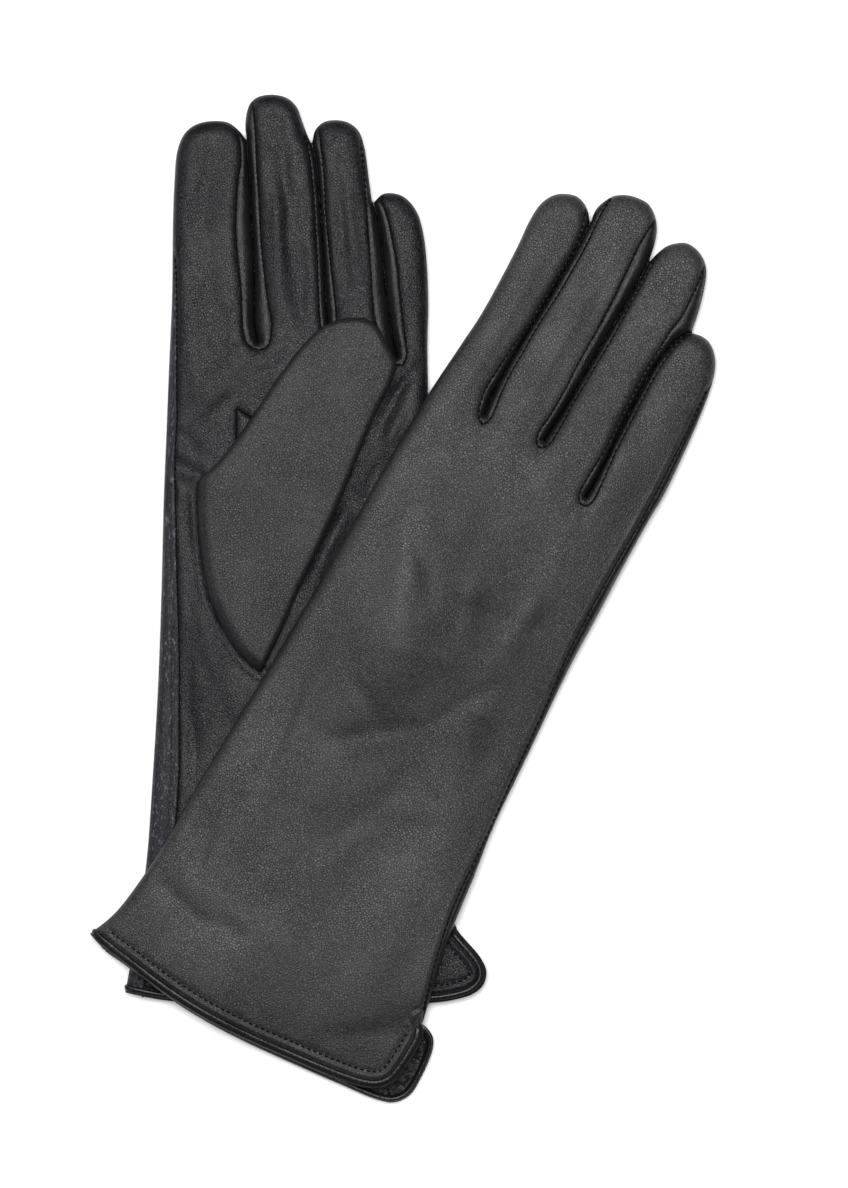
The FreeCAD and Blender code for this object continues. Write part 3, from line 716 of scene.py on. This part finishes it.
def leather_layers(glove):
    """Every leather piece of the hand and cuff, as a surface in the glove's own frame."""
    pieces = {}
    for layer in ("palm", "back"):
        upper = glove.on_top(layer)
        hem = glove.hems[layer]
        side_seam = glove.side_seams[layer]
        seams = [*glove.gap_seams, side_seam] + ([glove.quirk] if layer == "palm" else [])
        rows = [(line, (-0.12, -0.45, -1.0, -1.8)) for line in glove.closed_parts]
        if upper:
            rows += [(line, (0.35, -0.35, 0.8, -0.8, 1.4, -1.4)) for line in seams]
            rows += [(side_seam, (-2.0, -2.6, -3.2))]
            rows += [(hem, (-1.2, -2.0, -2.7, -3.3, -4.0, -4.8, -5.5, -6.2))]
        spacing = UPPER_GRID if upper else LOWER_GRID
        plane, faces = triangulate([*glove.closed_parts, hem, *seams], rows, glove.outline(layer), spacing)
        points = lifted(plane, glove.height(plane, layer))
        names = labels(glove, plane[faces].mean(1), layer)
        for name in sorted(set(names)):
            pieces.setdefault(name, Surface()).add(points, faces[names == name], upper)
    return pieces


def inner_pouch(glove, inset, layers, keep, spacing):
    """A thinner skin inside the leather, such as the lining or a facing, cut where keep says."""
    surface = Surface()
    for layer in layers:
        upper = glove.on_top(layer)
        polygon = glove.outline(layer)
        ring = [resample(part, 1.6) for part in glove.closed_parts]
        ring = np.vstack([beside(line, inset) for line in ring])
        ring = ring[inside(ring, polygon)]
        ring = ring[glove.closed_edge.distance(ring) > inset - 0.02]
        hem = beside(resample(glove.hems[layer], 2.0), 1.2)
        inner = np.array(scatter([], [], polygon, spacing)[0])
        inner = inner[glove.closed_edge.distance(inner) > inset + spacing * 0.4]
        plane, faces = join(np.vstack([ring, hem[inside(hem, polygon)], inner]))
        middles = plane[faces].mean(1)
        good = inside(middles, polygon) & (glove.closed_edge.distance(middles) > inset * 0.9)
        good &= keep(glove, middles, layer)
        edge = np.maximum(glove.closed_edge.distance(plane) - inset, 0)
        half = glove.thickness(plane) / 2
        edge[edge < 0.03] = 0
        rise = (half - inset) * puff(edge, 4.5) * (1 if upper else -1)
        if upper:
            rise += np.minimum(glove.folds(plane, layer), 0) * smoothstep(edge / 4)
        points = lifted(plane, glove.rest(plane, upper, edge + inset) + half + rise)
        surface.add(points, faces[good], not upper)
    return surface


def near_hem(glove, middles, layer):
    return glove.hem_line[layer].distance(middles) < FACING_DEPTH


def past_hem(glove, middles, layer):
    return (glove.hem_line[layer].distance(middles) > LINING_START) & (middles[:, 1] > 8)


def thumb_heights(glove, plane, upper, inset=0.0):
    """The folded thumb: a flat pouch with a crisp edge, which grows out of its seam on the palm."""
    free = np.maximum(glove.thumb_line.distance(plane) - inset, 0)
    root = glove.root_line.distance(plane)
    rise = puff(root, THUMB_JOIN)
    bed = glove.thumb_bed(plane)
    soft = 0.35 * soft_noise(plane, 26, 2.3) * smoothstep(free / 8)
    half = (THUMB_HEIGHT / 2 - inset) * puff(free, THUMB_ROUND)
    lobe = bed + THUMB_HEIGHT / 2 + (half + soft if upper else -half)
    join = glove.palm_face(plane)
    return join + (lobe - join) * rise


def thumb_surface(glove):
    surface = Surface()
    rows = [(glove.thumb_edge, (-0.12, -0.4, -0.9, -1.5, -2.2)),
            (glove.thumb_root, (-0.4, -0.9, -1.6, -2.6))]
    for upper in (True, False):
        spacing = 1.3 if upper == glove.palm_up else 2.0
        curves = [glove.thumb_edge, glove.thumb_root]
        plane, faces = triangulate(curves, rows, glove.thumb_outline, spacing)
        surface.add(lifted(plane, thumb_heights(glove, plane, upper)), faces, upper)
    return surface


def thumb_lining_surface(glove):
    surface = Surface()
    inset = THUMB_LINING_INSET
    polygon = glove.thumb_outline
    ring = beside(resample(glove.thumb_edge, 1.6), inset)
    ring = ring[inside(ring, polygon) & (glove.root_line.distance(ring) > 5)]
    inner = np.array(scatter([], [], polygon, 3.0)[0])
    inner = inner[(glove.thumb_line.distance(inner) > inset + 1.2) & (glove.root_line.distance(inner) > 6)]
    plane, faces = join(np.vstack([ring, inner]))
    middles = plane[faces].mean(1)
    good = (glove.thumb_line.distance(middles) > inset * 0.9) & inside(middles, polygon)
    for upper in (True, False):
        heights = thumb_heights(glove, plane, upper, inset)
        edge = glove.thumb_line.distance(plane) < inset + 0.05
        if not upper:
            heights[edge] = thumb_heights(glove, plane[edge], True, inset)
        surface.add(lifted(plane, heights), faces[good], upper)
    return surface


# ---------------- meshes
def mesh_piece(name, points, faces, material):
    mesh = bpy.data.meshes.new(name)
    mesh.from_pydata([tuple(p) for p in points], [], [tuple(int(i) for i in f) for f in faces])
    mesh.validate()
    mesh.shade_smooth()
    piece = bpy.data.objects.new(name, mesh)
    bpy.context.scene.collection.objects.link(piece)
    mesh.materials.append(material)
    return piece


def surface_piece(name, glove, surface, material, thickness):
    """A piece of leather or knit of a thickness in millimetres, inwards from its outer face."""
    points = glove.to_pair(np.array(surface.points))
    piece = mesh_piece(name, points, surface.faces, material)
    skin = piece.modifiers.new("thickness", "SOLIDIFY")
    skin.thickness = thickness * MM
    skin.offset = -1
    skin.use_rim = True
    return piece


def sweep_loop(path, side, half_width, half_height, around=12):
    """A closed tube with a rounded flat section, whose wide direction starts as side and is carried on."""
    count = len(path)
    along = np.roll(path, -1, axis=0) - np.roll(path, 1, axis=0)
    along /= np.linalg.norm(along, axis=1)[:, None]
    points = []
    for centre, forward in zip(path, along):
        side = side - forward * side.dot(forward)
        side /= np.linalg.norm(side)
        up = np.cross(side, forward)
        for k in range(around):
            angle = 2 * math.pi * k / around
            c, s = math.cos(angle), math.sin(angle)
            wide = math.copysign(abs(c) ** 0.8, c) * half_width
            high = math.copysign(abs(s) ** 0.8, s) * half_height
            points.append(centre + side * wide + up * high)
    faces = []
    for i in range(count):
        for k in range(around):
            a, b = i * around + k, i * around + (k + 1) % around
            c, d = ((i + 1) % count) * around + (k + 1) % around, ((i + 1) % count) * around + k
            faces.append((a, b, c, d))
    return np.array(points), faces


def binding_path(glove):
    """Round both hems: from the vent along the palm's hem, round the fold, and back along the back's."""
    parts = []
    for layer in ("palm", "back"):
        line = beside(glove.hems[layer], BINDING_CENTRE)
        part = lifted(line, glove.height(line, layer) + (-0.35 if glove.on_top(layer) else 1.0))
        parts.append(part if layer == "palm" else part[::-1])
    path = np.vstack(parts)
    path = np.vstack([path, path[:1]])
    path = evenly(path, lambda length: int(length / 0.9), endpoint=False)
    for _ in range(6):
        path = (np.roll(path, 1, axis=0) + 2 * path + np.roll(path, -1, axis=0)) / 4
    return path


class Stitches:
    """Rows of short thread stitches, gathered into one piece."""

    LENGTH = 1.35
    PITCH = 2.1
    RINGS = ((-0.5, 0.35), (-0.3, 1.0), (0.3, 1.0), (0.5, 0.35))

    def __init__(self):
        self.points = []
        self.faces = []

    def row(self, line, height, keep, radius, lift=0.05):
        """Stitches along a line in the glove's frame, on the surface that height gives."""
        line = resample(line, self.PITCH)
        middles = (line[:-1] + line[1:]) / 2
        spans = np.diff(line, axis=0)
        spans /= np.linalg.norm(spans, axis=1)[:, None]
        good = keep(middles)
        middles, spans = middles[good], spans[good]
        starts = middles - spans * self.LENGTH / 2
        ends = middles + spans * self.LENGTH / 2
        for a, b in zip(lifted(starts, height(starts)), lifted(ends, height(ends))):
            self.stitch(a, b, radius, lift)

    def stitch(self, a, b, radius, lift):
        along = (b - a) / np.linalg.norm(b - a)
        side = np.cross((0, 0, 1), along)
        side /= np.linalg.norm(side)
        up = np.cross(along, side)
        first = len(self.points)
        for at, size in self.RINGS:
            centre = (a + b) / 2 + (b - a) * at + up * lift * size
            for k in range(6):
                angle = math.pi * k / 3
                self.points.append(
                    centre + (side * math.cos(angle) + up * math.sin(angle) * 0.8) * radius * size)
        for ring in range(3):
            for k in range(6):
                p, q = first + ring * 6 + k, first + ring * 6 + (k + 1) % 6
                self.faces.append((p, q, q + 6, p + 6))
        self.faces.append(tuple(first + k for k in range(5, -1, -1)))
        self.faces.append(tuple(first + 18 + k for k in range(6)))


def hem_row(hem):
    """The stitch row's line beside a hem, which stops short of the vent and the fold."""
    return beside(hem, STITCH_GROOVE)[4:-6]


def drape_right_over_left(left, right):
    """The right glove rests on the left one, with its own thumb folded between them."""
    bed = Sheet()
    places = bed.places()
    on_left = left.plain_top(left.from_pair(right.to_pair(places))).reshape(bed.shape)
    target = np.where(on_left > 0, on_left + GLOVE_GAP, 0.0)
    bed.heights = settle(target, THUMB_SAG)
    right.thumb_drape = bed.soften(20)
    within = inside(places, right.thumb_outline)
    thumb_top = np.zeros(len(places))
    free = right.thumb_line.distance(places[within])
    root = right.root_line.distance(places[within])
    thumb_top[within] = (THUMB_HEIGHT + THUMB_GAP) * smoothstep(np.minimum(free / 2.0, root / 9.0))
    raised = np.maximum(bed.heights, target)
    over = Sheet(settle(raised + thumb_top.reshape(bed.shape), GLOVE_SAG)).soften(60)
    right.drape = over
    roof = Sheet(settle(over.heights, ROOF_SAG, rounds=3000)).soften(1000)
    for _ in range(5):
        missing = Sheet(np.maximum(over.heights - roof.heights, 0) * 2.2)
        roof.heights = roof.heights + missing.soften(200).heights
    right.roof = roof


# ---------------- materials
class Finish:
    """Builds one material's nodes, in object coordinates, so sizes are given in millimetres."""

    def __init__(self, name):
        self.material = bpy.data.materials.new(name)
        self.material.use_nodes = True
        self.nodes = self.material.node_tree.nodes
        self.links = self.material.node_tree.links
        self.shader = self.nodes["Principled BSDF"]
        self.place = self.nodes.new("ShaderNodeTexCoord").outputs["Object"]

    def node(self, kind, inputs, output, **settings):
        """One output of a new node, with its inputs linked to sockets or set to values."""
        node = self.nodes.new(f"ShaderNode{kind}")
        for name, value in settings.items():
            setattr(node, name, value)
        for name, value in inputs.items():
            self.feed(node.inputs[name], value)
        return node.outputs[output]

    def feed(self, socket, value):
        if isinstance(value, bpy.types.NodeSocket):
            self.links.new(value, socket)
        else:
            socket.default_value = value

    def stretched(self, x, y):
        """Coordinates with features drawn out along a direction."""
        return self.node("Mapping", {"Scale": (x, y, 1), "Vector": self.place}, "Vector")

    def noise(self, size, detail=3.0, rough=0.5, where=None, twist=0.0):
        return self.node("TexNoise", {
            "Scale": 1000 / size, "Detail": detail, "Roughness": rough, "Distortion": twist,
            "Vector": where or self.place}, "Fac")

    def cells(self, size, where):
        """Pebbled grain: the distance from each point to the nearest crack between cells."""
        inputs = {"Scale": 1000 / size, "Vector": where}
        return self.node("TexVoronoi", inputs, "Distance", feature="DISTANCE_TO_EDGE")

    def jittered(self, amount, size):
        """Coordinates pushed about a little, so that cells aren't straight-sided."""
        push = self.node("TexNoise", {"Scale": 1000 / size, "Vector": self.place}, "Color")
        inputs = {0: push, 1: (amount * MM,) * 3, 2: self.place}
        return self.node("VectorMath", inputs, "Vector", operation="MULTIPLY_ADD")

    def spread(self, value, low, high, to_low=0.0, to_high=1.0):
        inputs = {"From Min": low, "From Max": high, "To Min": to_low, "To Max": to_high, "Value": value}
        return self.node("MapRange", inputs, "Result")

    def maths(self, operation, a, b=0.0):
        return self.node("Math", {0: a, 1: b}, "Value", operation=operation)

    def crease(self, size, width):
        """Thin wandering folds: 1 on them and 0 between."""
        wave = self.noise(size, 2.0, 0.55, twist=0.6)
        return self.spread(self.maths("ABSOLUTE", self.maths("SUBTRACT", wave, 0.5)), width, 0.0)

    def bump(self, height, depth, below=None):
        inputs = {"Distance": depth * MM, "Strength": 1.0, "Height": height}
        if below is not None:
            inputs["Normal"] = below
        return self.node("Bump", inputs, "Normal")

    def colour(self, amount, low, high):
        inputs = {"A": (*low, 1), "B": (*high, 1), "Factor": amount}
        return self.node("Mix", inputs, "Result", data_type="RGBA")

    def finish(self, colour, roughness, normal, specular):
        for name, value in (("Base Color", colour), ("Roughness", roughness), ("Normal", normal),
                            ("Specular IOR Level", specular)):
            self.feed(self.shader.inputs[name], value)
        return self.material


def grey(value, blue=0.0):
    return (value, value, value + blue)


# Every leather: its colours in the cracks and on the grain (the crack colour partly painted shade), its
# roughness, the size and depth of the grain in millimetres, the depth of the creases, its gloss, and the
# strength of its painted glints, pale flecks for the bright room reflected at grazing angles.
LEATHERS = {
    "back": dict(dark=grey(0.002, 0.0005), light=grey(0.035, 0.002), rough=0.34, grain=0.88, depth=0.08,
                 creases=0.012, specular=0.26),
    # The strip of back leather along the left glove's index side: painted shade makes it darker than the
    # back, where it turns down at the edge, and painted glints fleck it.
    "back_shade_and_glints": dict(dark=grey(0.003, 0.001), light=grey(0.014, 0.003), rough=0.32, grain=0.9, depth=0.09,
                      creases=0.03, specular=0.14, painted_glints=0.5),
    "palm": dict(dark=grey(0.001, 0.0005), light=grey(0.016, 0.002), rough=0.24, grain=0.88, depth=0.065,
                 creases=0.025, specular=0.13),
    "fourchette": dict(dark=grey(0.002, 0.0005), light=grey(0.010, 0.001), rough=0.30, grain=0.8,
                       depth=0.05, creases=0.04, specular=0.20),
    "thumb": dict(dark=grey(0.002, 0.0005), light=grey(0.026, 0.002), rough=0.36, grain=0.85, depth=0.07,
                  creases=0.01, specular=0.185),
    "binding": dict(dark=grey(0.002, 0.0005), light=grey(0.010, 0.001), rough=0.28, grain=0.8,
                    depth=0.03),
    "facing": dict(dark=grey(0.002, 0.0005), light=grey(0.010, 0.001), rough=0.45, grain=1.5, depth=0.15,
                   creases=0.4),
}
# The colour of the painted glints: the bright room reflected at grazing angles.
GLINT_COLOUR = (0.16, 0.17, 0.21)


def leather(name, dark, light, rough, grain, depth, creases=0.04, specular=0.26, painted_glints=0.0):
    """Black glove leather: pebbled grain over soft creases, dull in the cracks, polished on the grain, and
    darker in the cracks, partly its own tone and partly painted shade.
    """
    f = Finish(name)
    where = f.jittered(0.6, 1.5)
    pebbles = f.spread(f.cells(grain, where), 0.0, 0.20)
    small = f.spread(f.cells(grain * 0.55, where), 0.0, 0.22)
    patch = f.spread(f.noise(16, 3.0), 0.3, 0.7)
    grained = f.maths("ADD", pebbles, f.maths("MULTIPLY", small, 0.4))
    grained = f.maths("MULTIPLY", grained, f.spread(patch, 0, 1, 0.55, 1.0))
    folds = f.maths("ADD", f.crease(9, 0.05), f.maths("MULTIPLY", f.crease(4, 0.07), 0.5))
    worn = f.spread(f.noise(28, 3.0, 0.55), 0.35, 0.7)
    # Darker in the grain's cracks, lighter on its pebbles: partly the leather's own tone and partly
    # painted shade in the cracks; worn adds tone that varies at random.
    tone = f.maths("ADD", f.maths("MULTIPLY", worn, 0.2), f.maths("MULTIPLY", grained, 0.6))
    colour = f.colour(tone, dark, light)
    # Painted glints: pale bluish flecks, drawn out along y, stand for the bright room reflected at grazing
    # angles; they replace the grain's tone with the flat light colour.
    if painted_glints:
        glint_flecks = f.spread(f.noise(0.9, 4.0, 0.7, f.stretched(1.0, 0.35)), 0.56, 0.66)
        colour = f.colour(f.maths("MULTIPLY", glint_flecks, painted_glints), light, GLINT_COLOUR)
    roughness = f.maths("ADD", f.maths("MULTIPLY", grained, -0.10), rough + 0.06)
    normal = f.bump(f.noise(11, 3.0, 0.5), 0.14)
    normal = f.bump(f.maths("MULTIPLY", folds, -1), creases, normal)
    return f.finish(colour, roughness, f.bump(grained, depth, normal), specular)


def knit(name):
    """Fine black knitted lining, in rows of small loops."""
    f = Finish(name)
    rows = f.node("TexWave", {"Scale": 260, "Distortion": 1.5, "Vector": f.place}, "Fac")
    loops = f.maths("ADD", rows, f.noise(0.8, 2.0))
    colour = f.colour(f.noise(6, 2.0), grey(0.012, 0.001), grey(0.022, 0.002))
    return f.finish(colour, f.spread(f.noise(3), 0, 1, 0.8, 0.95), f.bump(loops, 0.25), 0.2)


def thread(name):
    f = Finish(name)
    # Near-black, darker than the leather's grain: the thread's own black plus painted shade, so the
    # stitches read as shaded stitch holes.
    colour = f.colour(f.noise(2.0), grey(0.002), grey(0.006))
    return f.finish(colour, f.spread(f.noise(0.6), 0, 1, 0.8, 0.95), f.bump(f.noise(0.25), 0.05), 0.03)


def paper(name):
    """The plain pale floor."""
    f = Finish(name)
    colour = f.colour(f.noise(300, 1.0), grey(0.90), grey(0.92))
    return f.finish(colour, f.spread(f.noise(80), 0, 1, 0.75, 0.8), f.bump(f.noise(2.0), 0.01), 0.2)


def make_materials():
    materials = {name: leather(f"{name}_leather", **look) for name, look in LEATHERS.items()}
    materials["knit"] = knit("knit_lining")
    materials["thread"] = thread("thread_and_hole_shade")
    materials["paper"] = paper("pale_floor")
    return materials


# ---------------- the gloves' pieces
def stand_in(piece, node, slot):
    """This piece stands for its CAD node, which is hidden. Its slot is not used."""
    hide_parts(node)
    return piece


def blend_thumb(piece, glove):
    """The piece's transform is baked into its mesh; the direction across the thumb's chord is worked out
    but not used.
    """
    start, end = glove.to_pair(lifted(glove.thumb_chord, [0.0, 0.0]))
    chord = end - start
    across = np.array([-chord[1], chord[0], 0.0])
    across /= np.linalg.norm(across)
    if across[0] < 0:
        across = -across
    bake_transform(piece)


def glove_stitches(glove, material):
    """Stitch rows down every seam of the hand and beside the bound hems."""
    rows = Stitches()
    for layer in ("palm", "back"):
        outline = glove.outline(layer)

        def visible(points):
            return inside(points, outline) & (glove.closed_edge.distance(points) > 0.8)

        def height(points):
            return glove.height(points, layer)

        if not glove.on_top(layer):
            rows.row(hem_row(glove.hems[layer]), height, visible, 0.2, lift=-0.05)
            continue
        for seam in glove.gap_seams:
            rows.row(seam, height, visible, 0.36)
        rows.row(glove.side_seams[layer], height, visible, 0.30)
        rows.row(hem_row(glove.hems[layer]), height, visible, 0.4, lift=0.1)
        if layer == "palm":
            rows.row(glove.quirk, height, visible, 0.22)
    points = glove.to_pair(np.array(rows.points))
    return mesh_piece(f"{glove.side}_glove_stitches", points, rows.faces, material)


def skins_of_glove(glove):
    """The skins that ride on the glove: name, surface, look, slot and thickness of each."""
    # The left glove's back panel shows as the strip along its index side, with painted shade and painted
    # glints.
    looks = {"back_panel": ("back_shade_and_glints" if glove.palm_up else "back", "back_leather"),
             "palm_panel": ("palm", "palm_leather"), "quirk": ("palm", "palm_leather")}
    for name, surface in leather_layers(glove).items():
        look, slot = looks.get(name, ("fourchette", "fourchette_leather"))
        yield name, surface, look, slot, PANEL_LEATHER
    for layer in ("palm", "back"):
        surface = inner_pouch(glove, FACING_INSET, [layer], near_hem, 2.0)
        yield f"{layer}_facing", surface, "facing", "facing_leather", FACING_LEATHER
    surface = inner_pouch(glove, LINING_INSET, ["palm", "back"], past_hem, 3.0)
    yield "lining", surface, "knit", "knit_lining", KNIT


def skins_of_thumb(glove):
    """The folded thumb and its lining, in the same words."""
    yield "thumb", thumb_surface(glove), "thumb", "thumb_leather", THUMB_LEATHER
    yield "thumb_lining", thumb_lining_surface(glove), "knit", "knit_lining", KNIT


def skin_piece(glove, materials, name, surface, look, slot, thickness):
    node = f"{glove.side}_{name}"
    name = f"{node}_{'knit' if look == 'knit' else 'leather'}"
    return stand_in(surface_piece(name, glove, surface, materials[look], thickness), node, slot)


def make_glove(glove, materials):
    """One glove's pieces: its skins, its binding, its stitches and its folded thumb."""
    body = f"{glove.side}_glove"
    for skin in skins_of_glove(glove):
        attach(skin_piece(glove, materials, *skin), body)
    node = f"{glove.side}_cuff_binding"
    points, faces = sweep_loop(binding_path(glove), np.array([1.0, -0.2, 0.0]), 1.5, 0.95)
    piece = mesh_piece(f"{node}_roll", glove.to_pair(points), faces, materials["binding"])
    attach(stand_in(piece, node, "binding_leather"), body)
    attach(glove_stitches(glove, materials["thread"]), body)
    for skin in skins_of_thumb(glove):
        blend_thumb(skin_piece(glove, materials, *skin), glove)


# ---------------- floor, light and camera
# Half the floor's side and its gap under the gloves, in metres, and the strength of the room's light.
FLOOR_SIZE = 3.0
FLOOR_GAP = 0.0003
ROOM_LIGHT = 0.15
# Each softbox: its place, what it faces, its side in metres and its power in watts.
SOFTBOXES = {
    "ceiling_softbox": ((-0.04, 0.20, 1.35), (0, 0.05, 0), 0.80, 27.0),
    "left_softbox": ((-0.8, 0.6, 0.8), (0, 0, 0), 0.4, 3.0),
}
# The camera's view: its centre and height, and the level that it is measured at, in metres, and the lens
# and the sensor in millimetres.
VIEW_CENTRE = (0.0071, 0.0018)
VIEW_HEIGHT = 0.395
GLOVE_TOP = 0.012
LENS = 150
SENSOR = 36


def make_floor(material):
    """A plain square floor, just under the gloves."""
    mesh = bpy.data.meshes.new("floor")
    corners = [(x * FLOOR_SIZE, y * FLOOR_SIZE, 0) for x, y in ((-1, -1), (1, -1), (1, 1), (-1, 1))]
    mesh.from_pydata(corners, [], [(0, 1, 2, 3)])
    floor = bpy.data.objects.new("floor", mesh)
    floor.location.z = -FLOOR_GAP
    bpy.context.scene.collection.objects.link(floor)
    mesh.materials.append(material)
    floor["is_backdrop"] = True


def softbox(name, place, aim, size, power):
    data = bpy.data.lights.new(name, "AREA")
    data.shape = "RECTANGLE"
    data.size = size
    data.size_y = size
    data.energy = power
    lamp = bpy.data.objects.new(name, data)
    lamp.location = place
    lamp.rotation_mode = "QUATERNION"
    lamp.rotation_quaternion = (Vector(aim) - Vector(place)).to_track_quat("-Z", "Y")
    lamp.visible_camera = False
    bpy.context.scene.collection.objects.link(lamp)


def make_light():
    """A soft ceiling over the table in a dim room, so the leather darkens where it turns down."""
    scene = bpy.context.scene
    scene.view_settings.view_transform = "Standard"
    world = bpy.data.worlds.new("studio")
    world.use_nodes = True
    world.node_tree.nodes["Background"].inputs["Color"].default_value = (1, 1, 1, 1)
    world.node_tree.nodes["Background"].inputs["Strength"].default_value = ROOM_LIGHT
    scene.world = world
    for name, look in SOFTBOXES.items():
        softbox(name, *look)


def make_camera():
    """Straight above the gloves, from far enough away that the view is nearly parallel."""
    data = bpy.data.cameras.new("camera")
    data.lens = LENS
    data.sensor_width = SENSOR
    camera = bpy.data.objects.new("camera", data)
    camera.location = (*VIEW_CENTRE, GLOVE_TOP + VIEW_HEIGHT * LENS / SENSOR)
    camera.rotation_euler = (0, 0, 0)
    bpy.context.scene.collection.objects.link(camera)
    bpy.context.scene.camera = camera


def write_sizes():
    """Work out the CAD's box and the finished model's box."""
    boxes = {"cad": CAD_BOX, "visual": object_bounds()}
    plain = {name: [[float(v) for v in corner] for corner in box] for name, box in boxes.items()}


def main():
    materials = make_materials()
    left = Glove("left", LEFT, LEFT_TURN, True, 0.0)
    right = Glove("right", RIGHT, RIGHT_TURN, False, RIGHT_THUMB_SHIFT)
    drape_right_over_left(left, right)
    for glove in (left, right):
        make_glove(glove, materials)
    make_floor(materials["paper"])
    make_light()
    make_camera()
    write_sizes()


main()
